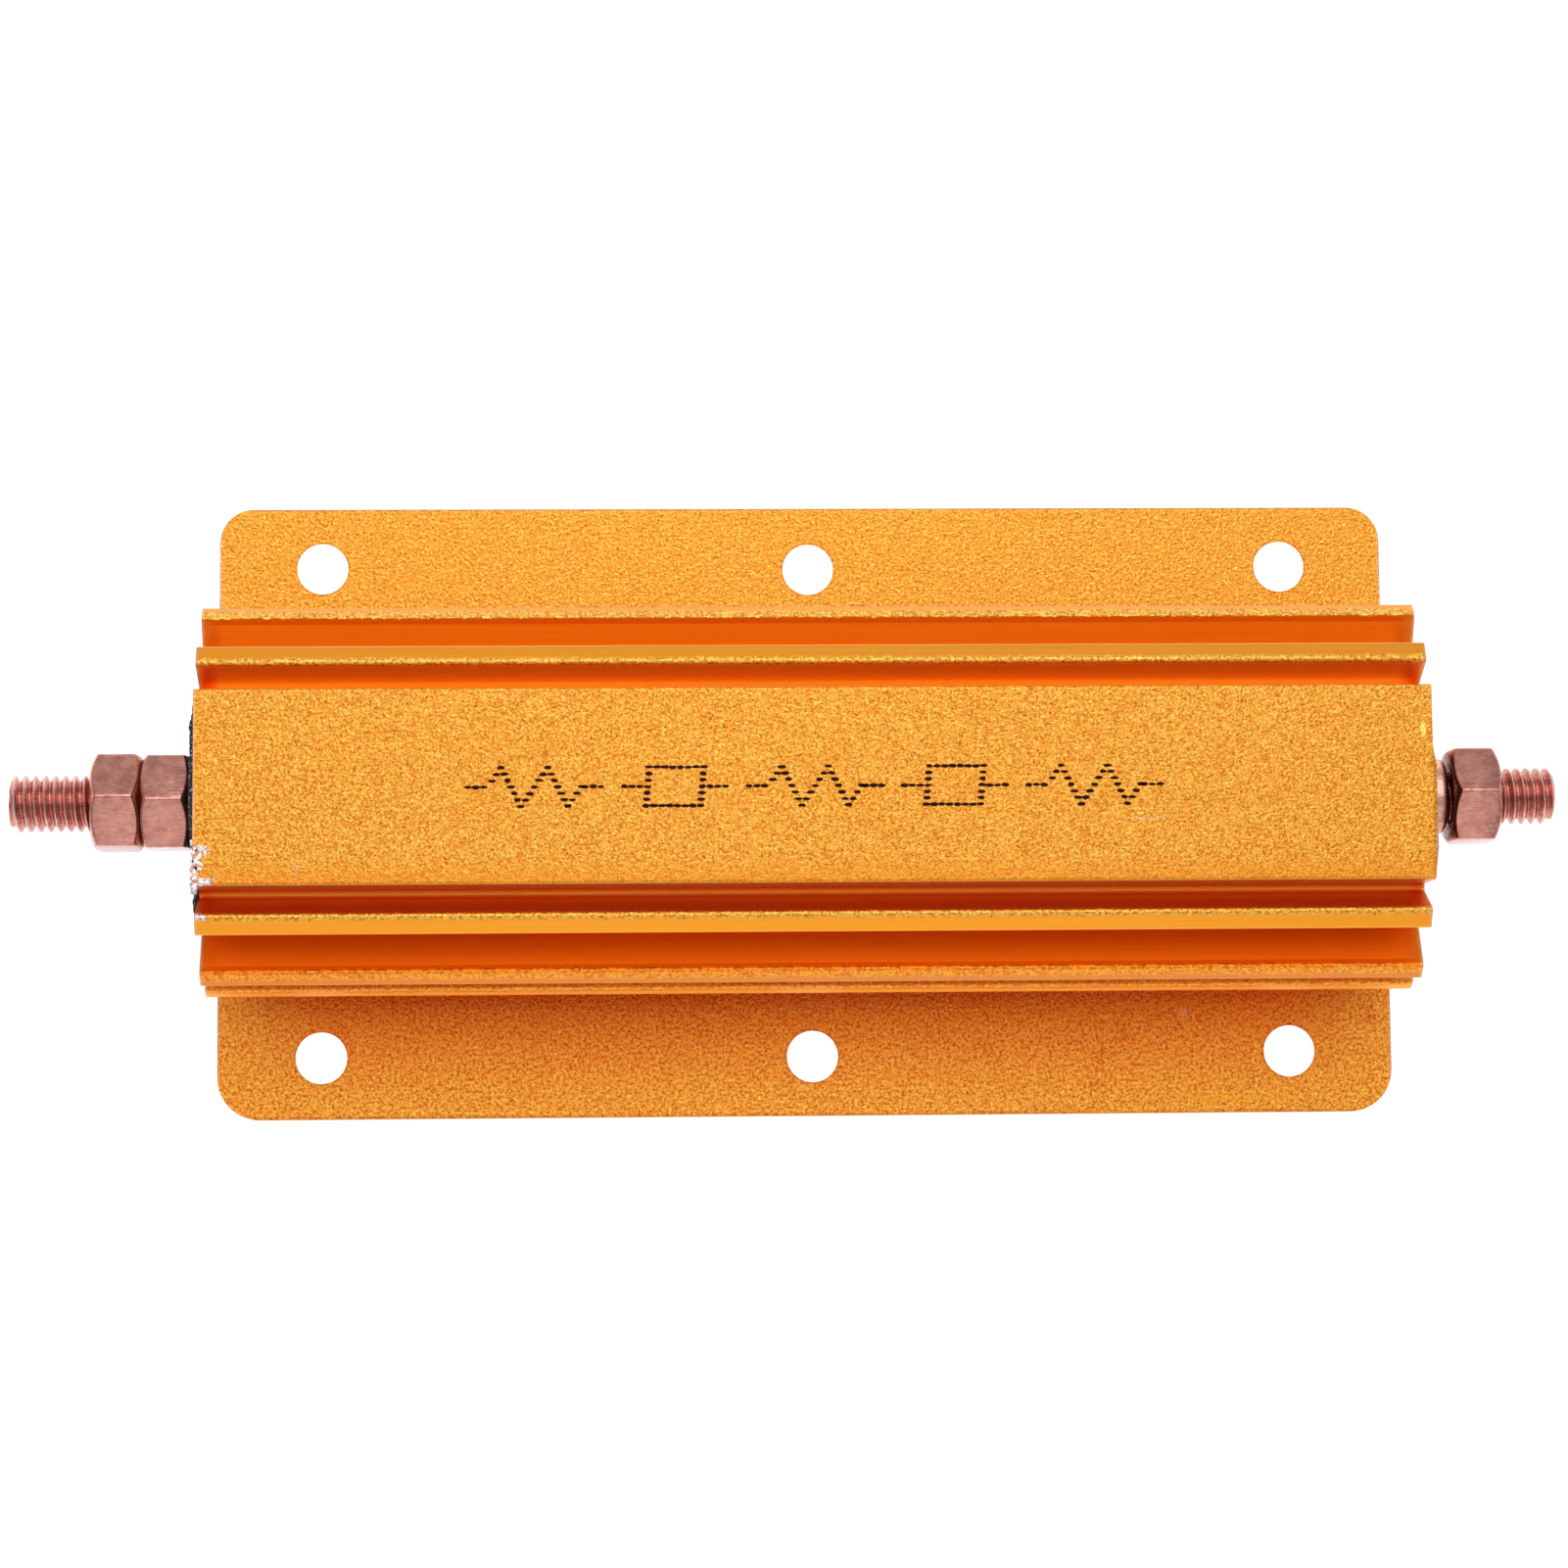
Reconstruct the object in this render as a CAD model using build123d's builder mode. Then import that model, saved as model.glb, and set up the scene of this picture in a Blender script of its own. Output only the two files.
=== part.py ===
from build123d import *
from math import cos, radians, sin, sqrt, tan
import os

# Finned housing. X runs along the bore, Z is up from the mounting face, sizes are in millimetres
body_length = 121.3
body_height = 28.0
flange_width = 63.4
flange_thickness = 2.6
front_corner_radius = 4.4
back_corner_radius = 3.6
bore_height = 12.7
bore_radius = 9.2
bore_wall = 1.7
block_width = 19.3
pedestal_width = 19.3

# Fins of one side: place of the root round the tube, lean over the flange, length, thickness, slope of the end
upper_fin_root = 28.3
upper_fin_lean = 64.0
upper_fin_length = 8.5
upper_fin_thickness = 2.25
upper_fin_end_slope = 31.0
middle_fin_root = 16.1
middle_fin_lean = 28.0
middle_fin_length = 8.9
middle_fin_thickness = 2.05
middle_fin_end_slope = 50.0
lower_fin_root = 6.6
lower_fin_lean = 1.0
lower_fin_length = 8.6
lower_fin_thickness = 1.85
lower_fin_end_slope = 70.0

# Rounding that the extrusion die leaves on every edge and in every groove along the body
edge_round = 0.35
groove_round = 0.45

# Screw holes in the flanges, three to a side, placed from the ends and the long edges. The middle ones sit
# a little off the middle, toward +X and -Y
hole_radius = 2.65
hole_end_distance = 10.65
hole_side_distance = 6.3
hole_rows = 2
corner_hole_columns = 2
middle_hole_columns = 1
middle_hole_shift = (0.5, -0.2)

# Wound element inside the bore
core_inset = 14.6
core_radius = 6.5
core_bore_radius = 2.7
wire_diameter = 0.5
cap_wall = 0.5
cap_skirt = 5.0

# Terminal studs, one at each end. Under a nut the thread is drawn at its pitch line, past it at its full size
neck_radius = 3.9
neck_proud_right = 3.65
thread_radius = 2.88
thread_pitch_radius = 2.6
thread_free_gap = 0.2
thread_end_chamfer = 0.55
stud_free_left = 8.22
stud_free_right = 5.76

# Hexagon nuts, each turned about its stud by the few degrees at which it was left
nut_across_flats = 9.3
nut_thickness = 4.95
nut_face_inset = 0.3
nut_chamfer_slope = 30.0
inner_nut_left_turn = -0.9
outer_nut_left_turn = 2.5
nut_right_turn = 1.3
nut_right_gap = 0.66

# Cement seals in the two ends of the bore, heaped up round the left stud and sunk round the right one
seal_recess = 0.6
mound_height = 1.53
mound_overlap = 1.4
mound_lip = 0.3
mound_slope_width = 5.3
mound_sides = 16

# Radial gap between pieces that sit in each other
fit_gap = 0.05

LEFT = -1
RIGHT = 1
half_body = body_length / 2
half_core = half_body - core_inset
tube_radius = bore_radius + bore_wall
hole_spacing_x = body_length - 2 * hole_end_distance
hole_spacing_y = flange_width - 2 * hole_side_distance
bore_axis = Axis((0, 0, bore_height), (1, 0, 0))
cap_inner_radius = core_radius + fit_gap
cap_outer_radius = cap_inner_radius + cap_wall
element_radius = cap_inner_radius + max(cap_wall, wire_diameter)
cap_face = half_core + cap_wall
seal_depth = half_body - cap_face
filling_radius = bore_radius - fit_gap
neck_clearance_radius = neck_radius + fit_gap
mound_face = half_body + mound_height
neck_end_right = half_body + neck_proud_right
nut_right_face = neck_end_right + nut_right_gap
nut_bore_radius = thread_pitch_radius + fit_gap


def across_bore(x, facing=RIGHT):
    """Plane square to the bore at x, centred on its axis, facing one end or the other."""
    return Plane(origin=(x, 0, bore_height), x_dir=(0, facing, 0), z_dir=(facing, 0, 0))


def along_bore(side):
    """Plane through the bore axis: its x runs outward to one end, its y is the radius."""
    return Plane(origin=(0, 0, bore_height), x_dir=(side, 0, 0), z_dir=(0, -side, 0))


def fin_outline(root, lean, length, thickness, end_slope):
    """Corners of one fin, from its end face back into the middle of the bore's wall."""
    out = Vector(cos(radians(lean)), sin(radians(lean)))
    end = Vector(cos(radians(end_slope)), -sin(radians(end_slope)))
    end_width = thickness / sin(radians(lean + end_slope))
    tip = Vector(cos(radians(root)), sin(radians(root))) * tube_radius + out * length
    root_radius = bore_radius + bore_wall / 2
    inner_tip = tip - end * end_width / 2
    outer_tip = tip + end * end_width / 2
    roots = []
    for corner in (inner_tip, outer_tip):
        run = corner.dot(out)
        roots.append(corner - out * (run - sqrt(run**2 - corner.dot(corner) + root_radius**2)))
    return [roots[0], inner_tip, outer_tip, roots[1]]


# Housing: one aluminium extrusion with a bored tube, a flat block, three fins a side and two flanges
with BuildPart() as housing:
    with BuildSketch(across_bore(-half_body)):
        Circle(tube_radius)
        with Locations((0, (body_height - bore_height) / 2)):
            Rectangle(block_width, body_height - bore_height)
        with Locations((0, -bore_height / 2)):
            Rectangle(pedestal_width, bore_height)
        with Locations((0, flange_thickness / 2 - bore_height)):
            Rectangle(flange_width, flange_thickness)
        for fin in (
            (upper_fin_root, upper_fin_lean, upper_fin_length, upper_fin_thickness, upper_fin_end_slope),
            (middle_fin_root, middle_fin_lean, middle_fin_length, middle_fin_thickness, middle_fin_end_slope),
            (lower_fin_root, lower_fin_lean, lower_fin_length, lower_fin_thickness, lower_fin_end_slope),
        ):
            Polygon(*fin_outline(*fin), align=None)
        mirror(about=Plane.YZ)
        # Out and back in rounds the grooves, then further in and out again rounds the edges
        offset(amount=groove_round, kind=Kind.ARC)
        offset(amount=-groove_round - edge_round, kind=Kind.ARC)
        offset(amount=edge_round, kind=Kind.ARC)
        Circle(bore_radius, mode=Mode.SUBTRACT)
    extrude(amount=body_length)
    with BuildSketch(Plane.XY) as plan:
        Rectangle(body_length, flange_width)
        fillet(plan.vertices().group_by(Axis.Y)[0], front_corner_radius)
        fillet(plan.vertices().group_by(Axis.Y)[-1], back_corner_radius)
    extrude(amount=body_height, mode=Mode.INTERSECT)
    with Locations(Plane.XY.offset(flange_thickness)):
        with GridLocations(hole_spacing_x, hole_spacing_y, corner_hole_columns, hole_rows):
            Hole(hole_radius, depth=flange_thickness)
        with Locations(middle_hole_shift):
            with GridLocations(hole_spacing_x, hole_spacing_y, middle_hole_columns, hole_rows):
                Hole(hole_radius, depth=flange_thickness)
housing.part.label = "housing"

# Core: steatite tube that carries the winding
with BuildPart() as ceramic_core:
    with BuildSketch(across_bore(-half_core)):
        Circle(core_radius)
        Circle(core_bore_radius, mode=Mode.SUBTRACT)
    extrude(amount=2 * half_core)
ceramic_core.part.label = "ceramic_core"

# Winding: one layer of resistance wire, turn against turn, from the rim of one end cap to that of the other
winding_half = half_core - cap_skirt
with BuildPart() as resistance_winding:
    with BuildSketch(across_bore(-winding_half)):
        Circle(cap_inner_radius + wire_diameter)
        Circle(cap_inner_radius, mode=Mode.SUBTRACT)
    extrude(amount=2 * winding_half)
resistance_winding.part.label = "resistance_winding"


def end_cap(side, label):
    """Pressed steel cup over one end of the core. The wire is welded to its skirt, the stud to its face."""
    with BuildPart() as cap:
        with BuildSketch(along_bore(side)):
            with BuildLine():
                Polyline(
                    (half_core - cap_skirt, cap_inner_radius),
                    (half_core - cap_skirt, cap_outer_radius),
                    (cap_face, cap_outer_radius),
                    (cap_face, 0),
                    (half_core, 0),
                    (half_core, cap_inner_radius),
                    close=True,
                )
            make_face()
        revolve(axis=bore_axis)
    cap.part.label = label
    return cap


def terminal_stud(side, neck_end, nuts_end, stud_free, label):
    """Turned stud: a plain neck, then the M6 thread without its turns, at its pitch radius under the nuts."""
    tip = nuts_end + stud_free
    with BuildPart() as stud:
        with BuildSketch(along_bore(side)):
            with BuildLine():
                Polyline(
                    (cap_face, 0),
                    (cap_face, neck_radius),
                    (neck_end, neck_radius),
                    (neck_end, thread_pitch_radius),
                    (nuts_end + thread_free_gap, thread_pitch_radius),
                    (nuts_end + thread_free_gap, thread_radius),
                    (tip - thread_end_chamfer, thread_radius),
                    (tip, thread_radius - thread_end_chamfer),
                    (tip, 0),
                    close=True,
                )
            make_face()
        revolve(axis=bore_axis)
    stud.part.label = label
    return stud


def hexagon_nut(side, inner_face, turn, label):
    """Nut chamfered on both faces: a turned blank cut to six flats, one corner up but for its turn."""
    flat_radius = nut_across_flats / 2
    corner_radius = flat_radius / cos(radians(30))
    face_radius = flat_radius - nut_face_inset
    chamfer_length = (corner_radius - face_radius) * tan(radians(nut_chamfer_slope))
    outer_face = inner_face + nut_thickness
    with BuildPart() as nut:
        with BuildSketch(along_bore(side)):
            with BuildLine():
                Polyline(
                    (inner_face, nut_bore_radius),
                    (inner_face, face_radius),
                    (inner_face + chamfer_length, corner_radius),
                    (outer_face - chamfer_length, corner_radius),
                    (outer_face, face_radius),
                    (outer_face, nut_bore_radius),
                    close=True,
                )
            make_face()
        revolve(axis=bore_axis)
        with BuildSketch(across_bore(side * inner_face)):
            RegularPolygon(flat_radius, 6, major_radius=False, rotation=90 - turn)
        extrude(amount=side * nut_thickness, mode=Mode.INTERSECT)
    nut.part.label = label
    return nut


# Filling: silica cement cast round the caps and the winding, as long as the element
with BuildPart() as insulating_fill:
    with BuildSketch(across_bore(-cap_face)):
        Circle(filling_radius)
        Circle(element_radius + fit_gap, mode=Mode.SUBTRACT)
    extrude(amount=2 * cap_face)
insulating_fill.part.label = "insulating_fill"

# Left seal: black cement from the cap to the end of the bore, heaped over the end face in a low mound
with BuildPart() as end_seal_left:
    with BuildSketch(across_bore(-half_body)):
        Circle(filling_radius)
    extrude(amount=seal_depth)
    with BuildSketch(across_bore(-half_body, LEFT)):
        RegularPolygon(bore_radius + mound_overlap, mound_sides)
    extrude(amount=mound_height)
    mound_top = end_seal_left.faces().sort_by(Axis.X)[0]
    chamfer(mound_top.edges(), mound_slope_width, mound_height - mound_lip, reference=mound_top)
    with BuildSketch(across_bore(-cap_face, LEFT)):
        Circle(neck_clearance_radius)
    extrude(amount=mound_face - cap_face, mode=Mode.SUBTRACT)
end_seal_left.part.label = "end_seal_left"

# Right seal: the same cement, sunk a little below the end of the body
with BuildPart() as end_seal_right:
    with BuildSketch(across_bore(cap_face)):
        Circle(filling_radius)
        Circle(neck_clearance_radius, mode=Mode.SUBTRACT)
    extrude(amount=seal_depth - seal_recess)
end_seal_right.part.label = "end_seal_right"

nuts_end_left = mound_face + 2 * nut_thickness
nuts_end_right = nut_right_face + nut_thickness
pieces = [
    housing,
    ceramic_core,
    resistance_winding,
    insulating_fill,
    end_cap(LEFT, "end_cap_left"),
    end_cap(RIGHT, "end_cap_right"),
    end_seal_left,
    end_seal_right,
    terminal_stud(LEFT, mound_face, nuts_end_left, stud_free_left, "terminal_stud_left"),
    terminal_stud(RIGHT, neck_end_right, nuts_end_right, stud_free_right, "terminal_stud_right"),
    hexagon_nut(LEFT, mound_face, inner_nut_left_turn, "inner_nut_left"),
    hexagon_nut(LEFT, mound_face + nut_thickness, outer_nut_left_turn, "outer_nut_left"),
    hexagon_nut(RIGHT, nut_right_face, nut_right_turn, "nut_right"),
]

os.makedirs("parts", exist_ok=True)
for piece in pieces:
    export_step(piece.part, f"parts/{piece.part.label}.step")
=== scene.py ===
from math import atan2, cos, hypot, pi, radians, sin, tan
import random

import bmesh
import bpy
from mathutils import Euler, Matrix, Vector, noise

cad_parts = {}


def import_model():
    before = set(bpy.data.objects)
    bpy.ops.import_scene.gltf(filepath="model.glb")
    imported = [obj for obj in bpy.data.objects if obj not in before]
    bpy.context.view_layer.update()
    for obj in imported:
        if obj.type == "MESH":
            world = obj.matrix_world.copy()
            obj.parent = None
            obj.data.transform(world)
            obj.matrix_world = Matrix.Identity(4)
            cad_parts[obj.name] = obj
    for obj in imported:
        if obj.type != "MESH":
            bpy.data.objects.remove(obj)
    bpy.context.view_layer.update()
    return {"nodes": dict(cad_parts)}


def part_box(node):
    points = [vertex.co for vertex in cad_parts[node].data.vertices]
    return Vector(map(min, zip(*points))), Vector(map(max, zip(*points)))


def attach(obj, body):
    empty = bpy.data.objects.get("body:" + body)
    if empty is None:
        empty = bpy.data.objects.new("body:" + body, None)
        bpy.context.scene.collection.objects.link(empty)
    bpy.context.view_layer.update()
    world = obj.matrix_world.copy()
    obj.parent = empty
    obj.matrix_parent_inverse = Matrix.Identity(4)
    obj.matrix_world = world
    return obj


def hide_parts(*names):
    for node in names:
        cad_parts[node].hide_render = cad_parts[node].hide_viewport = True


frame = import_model()

# Sizes and places are in millimetres of the frame, until a finished piece is scaled to metres
MM = 0.001
LEFT, RIGHT = -1, 1


def node_box(node):
    """Lowest and highest corner of a CAD node, in millimetres."""
    low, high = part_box(node)
    return low / MM, high / MM


body_high = node_box("housing")[1]
half_body = body_high.x
body_top = body_high.z
inner_nut_box = node_box("inner_nut_left")
outer_nut_box = node_box("outer_nut_left")
right_nut_box = node_box("nut_right")
left_stud_box = node_box("terminal_stud_left")
right_stud_box = node_box("terminal_stud_right")
left_seal_box = node_box("end_seal_left")
right_seal_box = node_box("end_seal_right")
bore_height = (left_stud_box[0].z + left_stud_box[1].z) / 2
neck_radius = left_stud_box[1].y
neck_end_right = half_body + 4.0
hole_x = half_body - 10.65
hole_y = body_high.y - 6.3
HOLE_RADIUS = 2.65
MIDDLE_HOLE_SHIFT = (0.5, -0.2)
FLANGE_TOP = 2.6


# Small helpers for finishes


class Nodes:
    """A tree of shader nodes under construction."""

    def __init__(self, tree):
        self.tree = tree
        tree.nodes.clear()

    def put(self, socket, value):
        if isinstance(value, bpy.types.NodeSocket):
            self.tree.links.new(value, socket)
        else:
            socket.default_value = value

    def node(self, kind, settings=None, **sockets):
        made = self.tree.nodes.new(kind)
        for name, value in (settings or {}).items():
            setattr(made, name, value)
        for name, value in sockets.items():
            self.put(made.inputs[name.replace("_", " ")], value)
        return made

    def math(self, operation, *values):
        made = self.node("ShaderNodeMath", {"operation": operation})
        for socket, value in zip(made.inputs, values):
            self.put(socket, value)
        return made.outputs[0]

    def vector(self, operation, *values):
        made = self.node("ShaderNodeVectorMath", {"operation": operation})
        sockets = [made.inputs[0], made.inputs["Scale"]] if operation == "SCALE" else made.inputs
        for socket, value in zip(sockets, values):
            self.put(socket, value)
        return made.outputs["Value" if operation in ("DISTANCE", "LENGTH", "DOT_PRODUCT") else "Vector"]


class Finish(Nodes):
    """A material under construction. Its patterns are placed in millimetres on the piece."""

    def __init__(self, name, **surface):
        self.material = bpy.data.materials.new(name)
        self.material.use_nodes = True
        super().__init__(self.material.node_tree)
        self.surface = self.node("ShaderNodeBsdfPrincipled", **surface)
        self.node("ShaderNodeOutputMaterial", Surface=self.surface.outputs[0])
        coordinates = self.node("ShaderNodeTexCoord")
        self.place = self.vector("MULTIPLY", coordinates.outputs["Object"], (1 / MM,) * 3)
        self.x, self.y, self.z = self.node("ShaderNodeSeparateXYZ", Vector=self.place).outputs
        self.grazing = self.node("ShaderNodeLayerWeight", Blend=0.5).outputs["Facing"]
        self.normal = None

    def noise(self, size, detail=2.0, roughness=0.5, stretch=(1, 1, 1), shift=(0, 0, 0)):
        """Cloudy pattern whose lumps are about size millimetres, longer where stretch is more."""
        place = self.vector("ADD", self.place, shift)
        place = self.vector("DIVIDE", place, tuple(size * s for s in stretch))
        made = self.node("ShaderNodeTexNoise", Vector=place, Scale=1.0, Detail=detail, Roughness=roughness)
        return made.outputs[0]

    def step(self, value, low, high, start=0.0, end=1.0, kind="SMOOTHSTEP"):
        """Goes softly from start to end as value goes from low to high."""
        made = self.node("ShaderNodeMapRange", {"interpolation_type": kind}, Value=value)
        for socket, number in zip(made.inputs[1:5], (low, high, start, end)):
            self.put(socket, number)
        return made.outputs[0]

    def scale(self, value, low, high, start=0.0, end=1.0):
        """Straight change from start to end as value goes from low to high, and not past them."""
        return self.step(value, low, high, start, end, "LINEAR")

    def mix(self, share, first, second):
        """Colour that goes from first to second as share goes from 0 to 1."""
        made = self.node("ShaderNodeMix", {"data_type": "RGBA"})
        for place, value in ((0, share), (6, first), (7, second)):
            self.put(made.inputs[place], value)
        return made.outputs[2]

    def blend(self, share, first, second):
        """Number that goes from first to second as share goes from 0 to 1."""
        made = self.node("ShaderNodeMix", {"data_type": "FLOAT"})
        for place, value in ((0, share), (2, first), (3, second)):
            self.put(made.inputs[place], value)
        return made.outputs[0]

    def both(self, mask, *others):
        """1 where every mask is 1."""
        for other in others:
            mask = self.math("MULTIPLY", mask, other)
        return mask

    def either(self, mask, *others):
        """1 where any mask is 1."""
        for other in others:
            mask = self.math("MAXIMUM", mask, other)
        return mask

    def covered(self, colour, mask, coat, strength=1.0):
        """Colour under a coat of another one, laid at this strength where the mask is 1."""
        if strength != 1.0:
            mask = self.math("MULTIPLY", mask, strength)
        return self.mix(mask, colour, coat)

    def away(self, centre, squeeze):
        """Distance from a place, counted shorter along the axes with a squeeze under 1."""
        offset = self.vector("SUBTRACT", self.place, centre)
        return self.vector("LENGTH", self.vector("MULTIPLY", offset, squeeze))

    def spot(self, centre, radius, ragged):
        """1 inside a round patch, with a border that the ragged pattern frays."""
        away = self.vector("DISTANCE", self.place, centre)
        away = self.math("ADD", away, self.math("MULTIPLY", ragged, radius))
        return self.step(away, radius, 0.6 * radius)

    def relief(self, height, depth):
        """Raises the surface by height times depth millimetres in its shading."""
        made = self.node("ShaderNodeBump", Height=height, Distance=depth * MM, Strength=1.0)
        if self.normal is not None:
            self.put(made.inputs["Normal"], self.normal)
        self.normal = made.outputs["Normal"]
        self.put(self.surface.inputs["Normal"], self.normal)

    def colour(self, value):
        self.put(self.surface.inputs["Base Color"], value)

    def roughness(self, value):
        self.put(self.surface.inputs["Roughness"], value)


def rgb(red, green, blue):
    """Linear colour from the 0 to 255 steps of a screen."""
    steps = [c / 255 for c in (red, green, blue)]
    return tuple(c / 12.92 if c <= 0.04045 else ((c + 0.055) / 1.055) ** 2.4 for c in steps) + (1.0,)


# Gold anodising

# Places in the section are distance from the middle plane and height above the mounting face.
# End faces of the fins: inner edge, outer edge, middle of the blasted strip, and the strength of
# the painted highlight along the outer edge on the back
FIN_ENDS = [
    ((12.36, 26.09), (14.29, 24.93), (12.36, 26.09), 0.2),
    ((17.66, 20.70), (19.00, 19.10), (18.02, 20.30), 0.95),
    ((19.09, 15.02), (19.76, 13.18), (19.09, 15.02), 0.6),
]
# Centre of the painted shade in the front corner at the block's foot
BLOCK_FOOT = (9.9, 18.5)
# Centre of the painted shade along the inner edge of the middle fin's top, in the groove's darker orange
MIDDLE_FIN_TOP = (17.5, 20.62)
MIDDLE_FIN_LOW_EDGE = (19.1, 19.1)

# A reach is the distance where a mask begins and the one where it is full
STRIP_REACH = (0.7, 0.45)
# Reach of the painted highlight on the fins' outer edges
EDGE_HIGHLIGHT_REACH = (0.7, 0.35)
FOOT_REACH = (1.3, 0.7)
FIN_TOP_REACH = (0.7, 0.5)
LOW_EDGE_REACH = (1.5, 1.0)
BAND_THICKNESS = (0.35, 0.2)

# Ranges across the body, signed ones from the back (+) to the front (-)
FLANGE_START = (18.2, 18.6)
BLOCK_SIDE = (10.2, 9.9)
GROOVE_BESIDE_BLOCK = (12.9, 12.5)
FRONT_MARGIN = (-6.6, -9.3)
FRONT_CORNER = (-9.8, -9.6)
# Where the painted shadow and reflection of the body lie on the front flange: across it, and along it, fading
# towards the ends
BODY_SHADOW_AND_REFLECTION_ACROSS = (-29.5, -19.0)
BODY_SHADOW_AND_REFLECTION_ALONG = (57.0, 48.0)

# Pattern of each blasted face: size of the grain, dark and light tone, contrast, strength of the dots
TOP_PATTERN = (0.27, rgb(218, 120, 32), rgb(251, 190, 78), 0.13, 0.75)
FLANGE_PATTERN = (0.32, rgb(222, 122, 32), rgb(248, 186, 74), 0.17, 0.5)
PIT, GLINT = rgb(160, 80, 10), rgb(255, 220, 118)

# Factors on red, green and blue of the front flange: a painted tone away from the body, and the painted
# shadow and reflection of the body beside it
FRONT_FACTOR = (1.18, 1.0, 1.0, 1.0)
SHADOW_AND_REFLECTION_FACTOR = (1.22, 0.48, 0.34, 1.0)

# Marks of use, each with its place and radius
SMUDGES = [
    ((30.4, -25.9, FLANGE_TOP), 1.1), ((30.0, -28.6, FLANGE_TOP), 0.8), ((32.7, -23.5, FLANGE_TOP), 1.0),
    ((58.6, -21.9, FLANGE_TOP), 1.0), ((18.5, -25.0, FLANGE_TOP), 0.9), ((-1.6, -27.4, FLANGE_TOP), 0.7),
]
SCUFFS = [
    ((39.2, -21.4, FLANGE_TOP), 0.35), ((-50.8, -8.3, body_top), 0.3), ((-50.6, -7.9, body_top), 0.25),
]
CHIPS = [
    ((-60.2, -6.5, body_top), 1.1), ((-60.5, -8.1, body_top), 0.7), ((-60.3, -9.5, body_top), 0.9),
    ((-59.0, -9.1, body_top), 0.45), ((-60.3, -12.5, body_top - 2), 0.7),
]
# Long marks: place, squeeze, reach, tone and strength
LONG_MARKS = [
    ((32.0, -3.5, body_top), (0.05, 1.0, 1.0), (0.13, 0.06), rgb(250, 196, 160), 0.5),
    ((44.0, -30.2, FLANGE_TOP), (0.06, 1.0, 1.0), (0.55, 0.2), rgb(252, 176, 44), 0.4),
]
NOTCH_PLACE, NOTCH_SQUEEZE, NOTCH_REACH = (59.75, 5.2, body_top), (1.0, 0.42, 1.0), (0.36, 0.2)


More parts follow.
